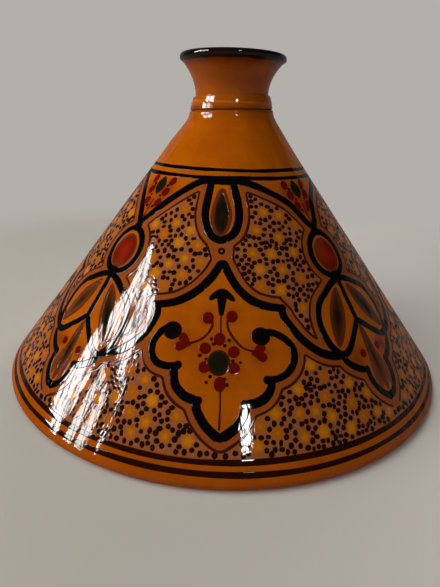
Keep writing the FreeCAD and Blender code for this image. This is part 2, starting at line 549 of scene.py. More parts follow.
def insetLine(border, closed=True, gap=drawing["margin"], fanStep=0.3, slack=0.22, spacing=1.3):
    # each border point steps gap inward, a corner fans round it in small turns, and what then
    # lies nearer than gap to any black line is left out
    step = np.roll(border, -1, 0) - border
    angle = np.arctan2(step[:, 1], step[:, 0])
    if not closed:
        angle[-1] = angle[-2]
    before = np.roll(angle, 1) if closed else np.r_[angle[0], angle[:-1]]
    bend = (angle - before + np.pi) % (2 * np.pi) - np.pi
    area = np.sum(border[:, 0] * np.roll(border[:, 1], -1) - border[:, 1] * np.roll(border[:, 0], -1))
    inward = np.pi / 2 * (np.sign(area) if closed else 1)
    fans = 1 + np.ceil(np.abs(bend) / fanStep).astype(int)
    at = np.repeat(np.arange(len(border)), fans)
    share = countUp(fans) / np.maximum(1, np.repeat(fans - 1, fans))
    aim = before[at] + bend[at] * share + inward
    spots = border[at] + gap * arms(aim)
    spots = spots[nearest(spots, walls) > gap - slack]
    line = evenly(np.vstack([spots, spots[:1]]) if closed else spots, spacing, closed)
    soft = (np.roll(line, 1, 0) + 2 * line + np.roll(line, -1, 0)) / 4
    if not closed:
        soft[0], soft[-1] = line[0], line[-1]
    return soft


def scatter(spots, gap, taken=None, crowdSize=1500):
    # picks spots at least gap apart: in each round the earliest spot of every crowd stays, and
    # all that lie within gap of it are dropped
    chosen = []
    if taken is not None:
        spots = spots[nearest(spots, taken) > gap]
    while len(spots):
        some = spots[:crowdSize]
        square = ((some[:, None] - some[None]) ** 2).sum(-1)
        crowd = np.tril(square < gap ** 2, -1).any(1)
        chosen.append(some[~crowd])
        spots = spots[nearest(spots, chosen[-1]) > gap]
    return np.vstack(chosen)


blackPanel = panelStrokes()
blackChains = {side: chainStrokes(side) for side in (1, -1)}
walls = np.vstack([s[0] for s in blackPanel + blackChains[1] + blackChains[-1]])
upperBorders = [upperField(roofRight, sideRight, 1), upperField(roofLeft, sideLeft, -1)]
lowerLine = lowerEdge()
bandEdge = toSheet(np.column_stack([np.linspace(45, -45, 60), np.full(60, field["bottom"] - 1)]))
lowerBorder = np.vstack([lowerLine, bandEdge])
fieldLines = [(insetLine(b), True) for b in upperBorders] + [(insetLine(lowerLine, closed=False), False)]


def inFields(spots, clear, low=0.0):
    # spots in a dotted field, at least clear from the middle of any black line and above low
    within = inside(spots, lowerBorder) | inside(spots, upperBorders[0]) | inside(spots, upperBorders[1])
    return within & (nearest(spots, walls) > clear) & (fromSheet(spots)[:, 1] > low)


def fieldSpots(seed):
    # yellow flowers first, then a loose ring of dots round each, then dots between them all
    dice = np.random.default_rng(seed)
    tries, low = field["tries"], field["bottom"]
    flowerClear, dotClear = (drawing["margin"] + field[key] for key in ("flowerMargin", "dotMargin"))
    spots = toSheet(np.column_stack([
        dice.uniform(-45, 45, tries),
        field["triesFrom"] + field["triesReach"] * dice.random(tries) ** field["crowding"]]))
    flowers = scatter(spots[inFields(spots, flowerClear, low + field["flowerLow"])], field["flowerGap"])
    turnStray, stray = field["ringSpread"]
    t = around(field["ringCount"]) + dice.uniform(0, wholeTurn, (len(flowers), 1))
    t = t + dice.normal(0, turnStray, t.shape)
    ring = flowers[:, None] + field["ringRadius"] * arms(t)
    ring = (ring + dice.normal(0, stray, ring.shape)).reshape(-1, 2)
    ring = ring[inFields(ring, dotClear, low)]
    ring = ring[nearest(ring, flowers) > field["ringClear"]]
    ring = scatter(ring, field["dotGap"] * field["ringCloser"])
    rest = spots[inFields(spots, dotClear, low)]
    rest = scatter(rest[nearest(rest, flowers) > field["dotClear"]], field["dotGap"], ring)
    return flowers, np.vstack([ring, rest])


print("panel drawn:", len(walls), "points of black line")


class Heap:
    # gathers many small closed shapes into the arrays of one piece
    def __init__(self):
        self.points, self.groups, self.tones, self.count = [], {}, [], 0

    def add(self, points, groups, tone=0.0):
        for g in groups:
            self.groups.setdefault(g.shape[1], []).append(g + self.count)
        self.points.append(points)
        self.tones.append(np.broadcast_to(tone, len(points)))
        self.count += len(points)

    def piece(self, name):
        faces = [np.vstack(g) for g in self.groups.values()]
        return makePiece(name, np.vstack(self.points), faces, {"tone": np.concatenate(self.tones)})


coats = {
    # heap: (piece, material, colour inside, colour where it thins out, clouds per metre, patches)
    "black": ("blackSlipLines", "blackSlip", (8, 6, 6), (26, 14, 9)),
    "brown": ("brownBrushLines", "brownSlip", (66, 20, 8), (92, 34, 11)),
    "dots": ("slipDots", "dotSlip", (30, 10, 6), (46, 17, 9)),
    "flowers": ("yellowFlowers", "yellowStain", (195, 119, 16), (168, 89, 16), 200.0),
    "band": ("footBands", "bandSlip", (38, 12, 5), (70, 24, 8)),
    "red": ("redBerries", "redStain", (100, 12, 5), (88, 16, 7), 120.0),
    "leaf": ("oliveLeaves", "oliveStain", (24, 18, 6), (106, 54, 18), 70.0),
    "green": ("greenLeaves", "greenStain", (21, 21, 8), (34, 27, 9), 90.0),
    "wash": ("brownWash", "washStain", (98, 42, 16), (120, 54, 20), 150.0),
    "roundel": ("redRoundels", "roundelStain", (140, 34, 8), (106, 20, 8), 120.0, (158, 66, 8)),
}
heaps = {key: Heap() for key in coats}
beadAcross = np.array([-0.5, -0.34, 0.0, 0.34, 0.5])  # section of a line, in shares of its width
beadUp = np.array([-0.35, 0.72, 1.0, 0.72, -0.35])  # and of its height
beadEnd = np.array([0.03, 0.16, 0.36, 0.62, 1.0])  # rows of an end, in shares of half the width


def panelMap(spots, panel):
    # sheet of the front panel to (turn, height) on panel 0 to 3, the odd ones mirrored
    place = fromSheet(spots)
    hand = -1 if panel % 2 else 1
    return np.stack([hand * place[..., 0] + 90 * panel, place[..., 1]], -1)


def facing(panel, groups):
    # the same faces, turned over unless the panel is a mirrored one
    return groups if panel % 2 else [g[:, ::-1] for g in groups]


def bead(heap, line, width, rise, closed, panel, uneven):
    # a rounded ridge along a line on the sheet: its width swells and thins by three sines, and
    # near an open end it falls as a half circle does, width sqrt(1 - (1 - e)^2)
    along = lengths(line)
    if not closed:
        near = beadEnd * width / 2
        between = along[(along > near[-1]) & (along < along[-1] - near[-1])]
        at = np.unique(np.r_[near, between, along[-1] - near])
        line, along = pointsAt(line, along, at), at
    ahead = (np.roll(line, -1, 0) - np.roll(line, 1, 0)) if closed else np.gradient(line, axis=0)
    ahead /= np.hypot(*ahead.T)[:, None]
    side = np.column_stack([-ahead[:, 1], ahead[:, 0]])
    f = rng.uniform(0, wholeTurn, 3)
    wave = np.sin(along / 7.1 + f[0]) + 0.7 * np.sin(along / 3.1 + f[1]) + 0.5 * np.sin(along / 13.7 + f[2])
    swell = 1 + uneven * wave / 2
    if not closed:
        e = np.clip(np.minimum(along, along[0] + along[-1] - along) / (width / 2), 0, 1)
        swell = swell * np.sqrt(1 - (1 - e) ** 2)
    across = (width * swell)[:, None] * beadAcross
    spots = line[:, None] + side[:, None] * across[..., None]
    lift = np.where(beadUp > 0, rise * np.minimum(1, swell)[:, None] * beadUp, beadUp * drawing["sunk"])
    points = onLid(panelMap(spots, panel), lift).reshape(-1, 3)
    n, m = len(line), len(beadAcross)
    caps = np.array([np.arange(m)[::-1], (n - 1) * m + np.arange(m)])
    heap.add(points, facing(panel, [gridQuads(n, m), joinQuads(n, m) if closed else caps]))


def pillow(heap, border, rise, panel, tone=0.0, shares=(1.0, 0.93, 0.72, 0.4)):
    # a low cushion over a closed outline on the sheet: rings at shares of the way out from its
    # middle, each raised by rise (1 - share^2) ** 0.4, the outermost sunk under the glaze
    middle = border.mean(0)
    share = np.array(shares)
    spots = middle + (border - middle)[None] * share[:, None, None]
    lift = rise * np.maximum(0, 1 - share ** 2) ** 0.4
    lift[0] = -drawing["fillSunk"]
    n = len(border)
    points = onLid(panelMap(spots, panel), lift[:, None] + np.zeros(n)).reshape(-1, 3)
    top = onLid(panelMap(middle[None], panel), np.array([rise]))
    j, last = np.arange(n), (len(share) - 1) * n
    cap = np.stack([np.full(n, len(points)), last + (j + 1) % n, last + j], -1)
    tones = tone + np.r_[np.repeat(share, n), 0.0]
    heap.add(np.vstack([points, top]), facing(panel, [gridQuads(len(share), n), cap, j[None]]), tones)


def domes(heap, spots, radius, rise, panel, corners=7, stretch=0.12):
    # many small domes at once: a sunk rim, a ring at 0.62 of the radius and a top
    n = len(spots)
    t = around(corners) + rng.uniform(0, wholeTurn, (n, 1))
    size = radius * (1 + rng.normal(0, 0.09, (n, 1)))
    pull = 1 + stretch * rng.normal(0, 1, (n, 1)) * np.cos(2 * t)
    arm = arms(t) * (size * pull)[..., None]
    middle = spots[:, None]
    laid = np.concatenate([middle + arm, middle + 0.62 * arm, middle], 1)
    lift = np.r_[np.full(corners, -drawing["fillSunk"]), np.full(corners, rise * 0.8), rise]
    points = onLid(panelMap(laid, panel), np.broadcast_to(lift, laid.shape[:2])).reshape(-1, 3)
    j = np.arange(corners)
    k = (j + 1) % corners
    side = np.stack([k, corners + k, corners + j, j], -1)
    cap = np.stack([corners + k, np.full(corners, 2 * corners), corners + j], -1)
    first = (np.arange(n) * (2 * corners + 1))[:, None, None]
    groups = [(first + g[None]).reshape(-1, g.shape[1]) for g in (side, cap, j[None])]
    heap.add(points, facing(panel, groups), np.repeat(rng.uniform(0, 1, n), 2 * corners + 1))


def bandRing(key, height, width, rise, drift, lean):
    # a brushed band all round: its middle wanders by drift times two sines of the turn, and it
    # lies lean higher at the front than at the sides
    count, across = lid["columns"], len(beadAcross)
    t = np.radians(lidTurns)
    wander = drift * (np.sin(3 * t + height) + 0.6 * np.sin(7 * t + 2 * height)) + lean * (np.cos(t) - 1)
    size = width / slant * (1 + 0.1 * np.sin(5 * t + height) + 0.06 * np.sin(17 * t))
    z = (height + wander)[:, None] - size[:, None] * beadAcross
    place = np.stack([np.broadcast_to(lidTurns[:, None], z.shape), z], -1)
    lift = np.broadcast_to(np.where(beadUp > 0, rise * beadUp, beadUp * drawing["sunk"]), z.shape)
    faces = facing(0, [gridQuads(count, across), joinQuads(count, across)])
    heaps[key].add(onLid(place, lift).reshape(-1, 3), faces)


class Brush:
    # paints on one panel, and on the chain on its right side, which is high on even panels and
    # low on odd ones
    def __init__(self, panel):
        self.panel = panel
        self.side = -1 if panel % 2 else 1

    def stroke(self, key, line, width, rise=drawing["thinRise"], closed=False, uneven=drawing["thinUneven"]):
        bead(heaps[key], line, width, rise, closed, self.panel, uneven)

    def fill(self, key, border, tone=0.0, rise=drawing["fillRise"], **more):
        pillow(heaps[key], border, rise, self.panel, tone, **more)

    def rimmed(self, key, border, tone=0.0, width=drawing["rim"], rim="wash"):
        self.fill(key, border, tone)
        edge = evenly(np.vstack([border, border[:1]]), 1.0, True)
        self.stroke(rim, edge, width, drawing["rimRise"], True)

    def drop(self, place, radius, count=20, stretch=1.0, rise=drawing["thickRise"]):
        self.fill("black", blob(place, radius, count, stretch), rise=rise)

    def dots(self, spots, radius, rise=drawing["fillRise"]):
        domes(heaps["dots"], spots, radius, rise, self.panel)

    def chain(self, points, hand=1):
        return chainPlace(points, self.side, hand)

    def leaf(self, key, hand=1):
        top, tip, *size = links[key]
        return almond(*self.chain([top, tip], hand), *size)


def paintLines(brush):
    # the black lines of the panel and its chain, and the brown lines inside the fields
    for line, width, closed in blackPanel + blackChains[brush.side]:
        brush.stroke("black", line, width, drawing["thickRise"], closed, drawing["uneven"])
    for line, closed in fieldLines:
        brush.stroke("brown", line, drawing["thin"], closed=closed)


def paintShield(brush):
    # the leaf in the hanging loop, and the sprig, arrow and scroll ends of the shield
    brush.rimmed("leaf", curve(shield["hangingLeaf"], closed=True), -0.35)
    for width, places in shield["stalks"]:
        brush.stroke("brown", curve(places), width)
    for place, lean in shield["hearts"]:
        brush.fill("red", heart(place, *shield["heartSize"], lean))
    for place, tall in shield["berries"]:
        brush.fill("red", blob(place, shield["berryRadius"], 18, tall))
    brush.rimmed("green", blob(*shield["roundel"]), 0.1, shield["roundelRim"], "brown")
    brush.dots(toSheet(shield["dots"]), shield["dotRadius"])
    for place in shield["scrollEnds"]:
        brush.drop(place, shield["scrollEndRadius"], 26, 0.96, drawing["thickRise"] * 1.3)
    for key in ("arrowhead", "arrowStem"):
        brush.fill("black", curve(shield[key], closed=True), rise=drawing["thickRise"])
    for place in panelJoins:
        brush.drop(place, drawing["join"])


def paintChain(brush):
    # the roundel, two leaves, stalk and berries of the chain, and the sprig over it
    brush.rimmed("roundel", toSheet(brush.chain(oval(*links["roundel"]))), 0.3, links["roundelRim"])
    for height, radius in links["knots"]:
        brush.drop(brush.chain((0, height)), radius, 22)
    place, radius = links["berry"]
    for hand in (1, -1):
        for join in brush.chain(chainJoins, hand):
            brush.drop(join, drawing["join"])
        paler = (brush.side, hand) == (-1, 1)
        brush.rimmed("leaf", brush.leaf("leaf", hand), 0.35 if paler else 0.0)
        brush.fill("red", blob(brush.chain(place, hand), radius, 16))
        brush.fill("wash", brush.leaf("tint", hand), 0.6, 0.012)
    brush.rimmed("leaf", brush.leaf("stalk"), 0.2)
    brush.fill("green", brush.leaf("sprigLeaf"), 0.2)
    brush.stroke("red", curve(brush.chain(links["sprigStem"])), drawing["thin"])
    for hand in (1, -1):
        for place, radius in links["sprigBerries"]:
            brush.fill("red", blob(brush.chain(place, hand), radius, 14, 1.2))
        brush.dots(toSheet(brush.chain(links["sprigDots"], hand)), links["sprigDotRadius"])


def paintFields(brush):
    # dots, and flowers of four or five petals whose tones step on by the golden ratio
    flowers, spots = fieldSpots(20 + brush.panel)
    brush.dots(spots, field["dotRadius"], field["dotRise"])
    for k, spot in enumerate(flowers):
        petals = blob(fromSheet(spot), field["flowerRadius"] * rng.uniform(0.88, 1.1), 20, 1.0,
                      rng.uniform(0.08, 0.2), 4 + k % 2, rng.uniform(0, wholeTurn))
        brush.fill("flowers", petals, 0.9 * (k * 0.618 % 1), field["flowerRise"], shares=(1.0, 0.88, 0.5))
    print("panel", brush.panel, "flowers and dots", (len(flowers), len(spots)))


for panel in range(4):
    brush = Brush(panel)
    for paint in (paintLines, paintShield, paintChain, paintFields):
        paint(brush)
bands = [
    # heap, height, width, rise, drift and lean
    ("black", 136.4, 2.7, 0.02, 0.12, 1.1),
    ("black", 132.3, 2.9, 0.02, 0.12, 1.1),
    ("band", 12.4, 3.5, 0.012, 0.18, 0.0),
    ("band", 8.0, 3.3, 0.012, 0.18, 0.0),
]
for band in bands:
    bandRing(*band)


def lidProfile():
    # from the middle of the seam down the painted outside, round the foot and up the hollow
    foot, stand, skirt, wall = (lid[key] for key in ("footRadius", "stand", "skirt", "wall"))
    r, h = lid["shoulderRadius"], lid["shoulderHeight"]
    top, end = lid["hollowTop"]
    hollow = turned([
        (foot - stand, 0.0, 0), (foot - 10.8, 0.0, 1.2), (foot - 11.6, 1.8, 1.0),
        (r + lid["spread"] * (h - skirt) - wall, skirt, 6.0), (r - wall + 1.2, h - 1.6, 30.0),
        (top, end, 9.0), (0, end, 0)], lid["hollowRow"])
    outer = outerLine[np.argmax(outerLine[:, 0] > foot - stand):]
    return np.vstack([[[0, lid["seam"]]], outer[::-1], hollow])


def redRun(spots):
    # where the red has run into the glaze: the sum of share exp(-(distance / reach)^2) over
    # (place, reach, share)
    middles = [(place, 4.6, 0.6) for place, tall in shield["berries"]]
    middles += [(place, 6.2, 0.7) for place, lean in shield["hearts"]]
    runs = [((7.0, 41.5), 6.5, 0.9), ((4.0, 31.0), 5.5, 0.6), ((6.6, 123.5), 6.5, 0.9),
            ((4.4, 115.5), 5.5, 0.8), ((3.4, 42.6), 4.2, 0.6)]
    for side in (1, -1):
        for hand in (1, -1):
            middles += [(chainPlace(place, side, hand), reach, share) for place, reach, share in runs]
        middles.append((chainPlace(links["ring"][0], side), 7.5, 0.6))
    total = np.zeros(len(spots))
    for place, reach, share in middles:
        total += share * np.exp(-((spots - toSheet(place)) ** 2).sum(1) / reach ** 2)
    return np.minimum(total, 1)


def lidTints(profile):
    # where the dotted fields and the red runs are, worked out on the painted rows of one panel
    # and repeated in mirrored panels; 0 in the hollow and at the poles
    rows, quarter = len(profile) - 2, lid["columns"] // 4
    outside = np.arange(rows) < len(outerLine) - 2
    place = np.stack(np.broadcast_arrays(lidTurns[None, :quarter], profile[1:-1, 1][:, None]), -1)
    spots = toSheet(place[outside]).reshape(-1, 2)
    within = inFields(spots, 0.0)
    depth = nearest(spots, walls) - drawing["margin"]

    def allRound(amounts):
        panel = np.zeros((rows, quarter))
        panel[outside] = amounts.reshape(-1, quarter)
        return np.r_[np.hstack([panel, panel[:, ::-1]] * 2).ravel(), 0, 0]

    return {
        "field": allRound((0.4 + 0.6 * ramp(depth, -0.6, 0.6)) * within),
        "redRun": allRound(redRun(spots) * ~within),
    }


handle = {
    "tilt": 0.04,  # the collar's grooves rise by this share of the way to the right
    "tiltFrom": 10.0,
    "tiltStarts": (150, 165),  # heights between which the tilt comes in
    "tiltEnds": (198, 182),  # and between which it has faded out again, from the top
    "neckRadius": 22.8,
    "upperGroove": 177.8,
    "cupRadius": cupRadius,
    "top": cupTop,
    "lip": 5.2,
    "floor": 180.5,
    "columns": 224,
}


def tilted(points):
    # the collar was luted on by eye: its height changes by tilt (x - tiltFrom), which fades to
    # nothing down on the cone and up at the lip
    z = points[:, 2]
    share = ramp(z, *handle["tiltStarts"]) * ramp(z, *handle["tiltEnds"])
    lifted = z + handle["tilt"] * (points[:, 0] - handle["tiltFrom"]) * share
    return np.column_stack([points[:, :2], lifted])


def makeLid():
    # the glazed cone, turned, with the slow wander of its wall
    profile = lidProfile()
    points, faces = lathe(profile, lidTurns, strayFrom)
    return makePiece("glazedCone", tilted(points), faces, lidTints(profile),
                     stands=["conical_lid"])


def handleProfile():
    # from the seam up the collar and neck, over the black lip and down the well: the neck
    # flares by the square of the share of its height
    neck, groove = handle["neckRadius"] + 0.3, handle["upperGroove"] + 0.7
    cup, top, floor = handle["cupRadius"], handle["top"], handle["floor"]
    collar, seam = lid["collarRadius"], lid["seam"]
    share = np.linspace(0, 1, 18)[1:]
    flare = [(neck + (cup - 2.2 - neck) * t ** 2, groove + (top - 5.0 - groove) * t, 0) for t in share]
    return turned([
        (0, seam, 0), (collar - 0.6, seam, 0), (collar, seam + 0.7, 0.5), (collar - 0.6, seam + 4.4, 31.0),
        (collar - 2.0, groove - 1.4, 0.5), (neck - 0.2, groove - 0.7, 0.4), (neck, groove, 0.4),
        *flare, (cup, top - 3.6, 1.4), (cup, top, 2.3), (cup - handle["lip"], top, 2.4),
        (neck - 1.0, floor + 8.5, 12.0), (neck - 6.6, floor, 5.0), (0, floor, 0)], 2.0, 0.12)


def makeHandle():
    # the collar, neck and cup, turned and tilted together
    points, faces = lathe(handleProfile()[::-1], np.degrees(around(handle["columns"])))
    return makePiece("cupHandle", tilted(points), faces, stands=["cup_handle"])


dish = {
    "footRadius": 76.0,
    "footWidth": 9.0,
    "rimRadius": 116.5,
    "rimHeight": dishTop,
    "wall": 5.4,
    "floor": 9.2,
    "recess": 2.2,
    "columns": 256,
}


def dishProfile():
    # from the middle of the recess over the foot ring, up to the rim and down to the floor
    foot, rim, top, floor = dish["footRadius"], dish["rimRadius"], dish["rimHeight"], dish["floor"]
    ring, recess = foot - dish["footWidth"], dish["recess"]
    return turned([
        (0, recess, 0), (ring - 1.2, recess, 0.8), (ring, 0, 0.5), (foot - 1.2, 0, 0.8), (foot, 1.2, 0.6),
        (foot + 1.5, 4.2, 1.5), (foot + 16, 7.6, 14.0), (rim, top - 4, 6.0), (rim, top, 1.3),
        (rim - dish["wall"], top, 1.3), (foot + 8, floor, 14.0), (0, floor, 0)], 4.0)


def makeDish():
    # the shallow dish, turned; the lid hides it until it is lifted
    points, faces = lathe(dishProfile()[::-1], np.degrees(around(dish["columns"])))
    return makePiece("glazedDish", points, faces, body="dish", stands=["base_dish"])


lidPiece = makeLid()
handlePiece = makeHandle()
dishPiece = makeDish()
coatPieces = {key: heap.piece(coats[key][0]) for key, heap in heaps.items()}
print("meshes made")


class Amount:
    # a number socket that can stand in a Python sum; each operator adds one Math node
    def __init__(self, finish, socket):
        self.finish, self.socket = finish, socket

    def maths(self, operation, *others, clamp=False):
        sockets = {str(i): v for i, v in enumerate((self,) + others)}
        return self.finish.node("ShaderNodeMath", {"operation": operation, "use_clamp": clamp}, **sockets)[0]

    def __add__(self, other):
        return self.maths("ADD", other)

    def __mul__(self, other):
        return self.maths("MULTIPLY", other)

    def __sub__(self, other):
        return self.maths("SUBTRACT", other)

    def __rsub__(self, other):
        return (self * -1) + other

    def __truediv__(self, other):
        return self.maths("DIVIDE", other)

    __radd__, __rmul__ = __add__, __mul__

    def step(self, low, high, share=1.0):
        # smooth 0 to share between low and high, which may also run downward
        node = self.finish.node("ShaderNodeMapRange", {"interpolation_type": "SMOOTHSTEP"},
                                Value=self, **{"From Min": low, "From Max": high, "To Max": share})
        return node[0]


def fromAxis(x, y):
    # distance from the pot's axis
    return (x * x + y * y).maths("SQRT")


class Finish:
    # a material and its Principled shader
    def __init__(self, name):
        self.material = bpy.data.materials.new(name)
        self.material.use_nodes = True
        self.tree = self.material.node_tree
        self.tree.nodes.clear()
        self.shader = self.tree.nodes.new("ShaderNodeBsdfPrincipled")
        self.result = Amount(self, self.shader.outputs[0])

    def node(self, kind, settings=None, **sockets):
        made = self.tree.nodes.new(kind)
        for key, value in (settings or {}).items():
            setattr(made, key, value)
        for key, value in sockets.items():
            self.put(made.inputs[int(key) if key.isdigit() else key], value)
        return [Amount(self, s) for s in made.outputs]

    def put(self, target, value):
        if isinstance(value, Amount):
            self.tree.links.new(value.socket, target)
        else:
            target.default_value = value

    def place(self):
        return self.node("ShaderNodeTexCoord")[3]

    def split(self, vector):
        return self.node("ShaderNodeSeparateXYZ", None, Vector=vector)

    def noise(self, vector, scale, detail=3.0, roughness=0.5):
        return self.node("ShaderNodeTexNoise", None, Vector=vector, Scale=scale, Detail=detail,
                         Roughness=roughness)[0]

    def stretched(self, vector, scale):
        return self.node("ShaderNodeVectorMath", {"operation": "MULTIPLY"}, **{"0": vector, "1": scale})[0]

    def mix(self, share, first, second):
        return self.node("ShaderNodeMix", {"data_type": "RGBA"}, **{"0": share, "6": first, "7": second})[2]

    def blend(self, share, first, second):
        sockets = {"0": share, "1": first, "2": second}
        return self.node("ShaderNodeMixShader", None, **sockets)[0]

    def value(self, name):
        return self.node("ShaderNodeAttribute", {"attribute_name": name})[2]

    def set(self, **sockets):
        for key, value in sockets.items():
            self.put(self.shader.inputs[key.replace("_", " ")], value)

    def glazed(self, base, height, gloss):
        # a clear glassy layer over a dull body
        bump = self.node("ShaderNodeBump", None, Height=height, Distance=skin["depth"], Strength=1.0)[0]
        self.set(Base_Color=base, Normal=bump, Roughness=0.6, Specular_IOR_Level=0.0, Coat_Weight=gloss,
                 Coat_Roughness=skin["roughness"], Coat_IOR=1.5)
        return self

    def on(self, *pieces):
        self.node("ShaderNodeOutputMaterial", None, Surface=self.result)
        for piece in pieces:
            piece.data.materials.clear()
            piece.data.materials.append(self.material)


def colour(red, green, blue):
    # screen colour 0 to 255 to the linear values that a shader takes
    c = np.array([red, green, blue]) / 255
    c = np.where(c <= 0.04045, c / 12.92, ((c + 0.055) / 1.055) ** 2.4)
    return (*[float(x) for x in c], 1.0)


skin = {
    "gloss": 0.34,
    "roughness": 0.035,
    "depth": 0.00012,
    "dimples": 120.0,  # shallow dimples per metre
    "combing": 0.7,
    "creases": 0.95,  # how much of the gloss a crease loses
    "creaseWidth": (0.014, 0.058),  # where the loss ends and starts, in units of the noise
    "creasesAcross": 62.0,  # creases per radian round the cone
    "creasesDown": 48.0,  # and per metre of height
    "lean": 60.0,
}
honey = {
    "glaze": colour(182, 91, 3),
    "thin": colour(190, 97, 5),  # where the glaze runs thin over the turned rings
    "pooled": colour(162, 77, 3),
    "iron": colour(84, 37, 12),
    "clay": colour(160, 88, 56),
    "redRun": colour(112, 30, 8),
    "fieldGround": colour(152, 91, 54),
    "margin": colour(120, 56, 30),  # between the black lines and the brown ones beside them
    "marginShare": 0.55,
    "foot": colour(150, 62, 6),  # darker and redder towards the foot
    "footFade": (0.017, 0.004, 0.5),  # heights between which a tone comes in, and its share there
    "groove": colour(98, 46, 6),  # painted shade round the groove at the seam
    "grooveShadeFade": (0.1668, 0.169, 0.6),
    "bare": (0.0009, 0.0016),  # the clay of the foot is bare below these heights
}
cup = {
    # painted shade over the seam groove
    "grooveShadeFade": (0.1715, 0.1694, 0.6),
    "collar": ((0.169, 0.171), (0.1765, 0.178)),
    "ridge": colour(212, 128, 52),  # pale streaks on the collar
    "ridgeShare": 0.6,
    # painted shade: the neck and its flare under the lip are darker and redder
    "neck": colour(150, 66, 2),
    "neckShadeFade": (0.177, 0.184, 0.55),
    "bleed": colour(92, 30, 8),  # where the black of the lip runs down into the honey
    "bleedFade": (0.1925, 0.1976, 0.65),
    "lip": colour(26, 15, 12),
    "lipOutside": (0.1958, 0.1966),  # ragged lower edge of the black, outside and inside
    "lipInside": (0.1992, 0.2002),
    "lipMiddle": (0.0285, 0.0292),  # radii between which inside turns to outside
    "worn": colour(120, 78, 50),
    "wornFrom": (0.2021, 0.2026),
}
dishTones = {
    "lineRadius": (0.1100, 0.1106),  # the black rim starts at these radii and heights
    "lineHeight": (0.0288, 0.0296),
    "bare": (0.0050, 0.0062),
    "recessRadius": (0.0660, 0.0655),  # the recess under the foot is bare as well
    "recessHeight": (0.0030, 0.0029),
}


def startGlaze(name):
    # honey glaze over red earthenware: broad clouds, fine turned rings, runs and iron specks
    finish = Finish(name)
    spot = finish.place()
    clouds = finish.noise(spot, 16.0, 4.0, 0.55)
    runs = finish.noise(finish.stretched(spot, (90, 90, 7)), 1.0, 3.0, 0.6)
    rings = finish.noise(finish.stretched(spot, (3, 3, 420)), 1.0, 2.0)
    base = finish.mix((clouds * 0.6 + runs * 0.4).step(0.36, 0.66), honey["pooled"], honey["glaze"])
    base = finish.mix(rings.step(0.52, 0.75, 0.25), base, honey["thin"])
    specks = finish.noise(spot, 900.0, 1.0, 0.4).step(0.74, 0.8, 0.55)
    return finish, spot, finish.split(spot), finish.mix(specks, base, honey["iron"]), rings, runs


def combed(finish, x, y, z, scale, fall, detail=1.0):
    # noise that runs down the slope: its place is the unit direction from the axis times
    # scale, leaning over as it rises, and the height times fall
    radius = fromAxis(x, y)
    aim = finish.node("ShaderNodeCombineXYZ", None, X=x / radius * scale + z * (skin["lean"] * scale / 100),
                      Y=y / radius * scale, Z=z * fall)[0]
    return finish.noise(aim, 1.0, detail)


def glazeSkin(finish, spot):
    # the height of the glaze, softly combed down the slope, and its gloss, which is lost in
    # thin creases along the lines where a second combed noise passes its middle value
    x, y, z = finish.split(spot)
    line = combed(finish, x, y, z, skin["creasesAcross"], skin["creasesDown"], 2.0) - 0.5
    creased = 1 - line.maths("ABSOLUTE").step(*skin["creaseWidth"])
    height = combed(finish, x, y, z, 24.0, 18.0) * skin["combing"]
    return height, (1 - creased * skin["creases"]) * skin["gloss"]


def honeyGlaze():
    # the cone: redder beside the black lines, pale brown under the dots, painted shade under the seam
    # groove, bare clay at the foot
    finish, spot, (x, y, z), base, rings, runs = startGlaze("honeyGlaze")
    field = finish.value("field")
    mottle = finish.noise(spot, 420.0, 2.0)
    clouds = finish.noise(spot, 110.0, 2.0)
    base = finish.mix(field.step(0.0, 0.4, honey["marginShare"]), base, honey["margin"])
    # darker and redder towards the foot
    base = finish.mix(z.step(*honey["footFade"]), base, honey["foot"])
    # painted shade: darker just below the seam groove
    base = finish.mix(z.step(*honey["grooveShadeFade"]), base, honey["groove"])
    base = finish.mix(field.step(0.3, 1.0) * (mottle * 0.5 + 0.5), base, honey["fieldGround"])
    base = finish.mix(finish.value("redRun") * (clouds * 0.8 + 0.35), base, honey["redRun"])
    bare = 1 - (z + runs * 0.0006).step(*honey["bare"])
    combing, gloss = glazeSkin(finish, spot)
    height = finish.noise(spot, skin["dimples"]) * 0.3 + rings * 0.1 + combing + mottle * field * 0.15
    return finish.glazed(finish.mix(bare, base, honey["clay"]), height, gloss * (1 - bare))


def cupGlaze():
    # pale streaks on the collar, painted shade that makes the neck darker and redder, and a black lip with a
    # ragged lower edge
    finish, spot, (x, y, z), base, rings, runs = startGlaze("cupGlaze")
    ragged = finish.noise(spot, 130.0, 3.0, 0.6)
    outer = (z + ragged * 0.0012).step(*cup["lipOutside"])
    inner = (z + ragged * 0.0022).step(*cup["lipInside"])
    wall = fromAxis(x, y).step(*cup["lipMiddle"])
    bottom, top = cup["collar"]
    streaks = z.step(*bottom) * (1 - z.step(*top)) * rings.step(0.48, 0.7, cup["ridgeShare"])
    base = finish.mix(streaks, base, cup["ridge"])
    # painted shade: darker just above the seam groove
    base = finish.mix(z.step(*cup["grooveShadeFade"]), base, honey["groove"])
    # painted shade on the neck
    base = finish.mix(z.step(*cup["neckShadeFade"]), base, cup["neck"])
    base = finish.mix((z + ragged * 0.003).step(*cup["bleedFade"]), base, cup["bleed"])
    base = finish.mix(wall * outer + (1 - wall) * inner, base, cup["lip"])
    base = finish.mix(z.step(*cup["wornFrom"]) * ragged.step(0.5, 0.75, 0.35), base, cup["worn"])
    height = finish.noise(spot, skin["dimples"]) * 0.5 + rings * 0.4 + runs * 0.2
    return finish.glazed(base, height, skin["gloss"])


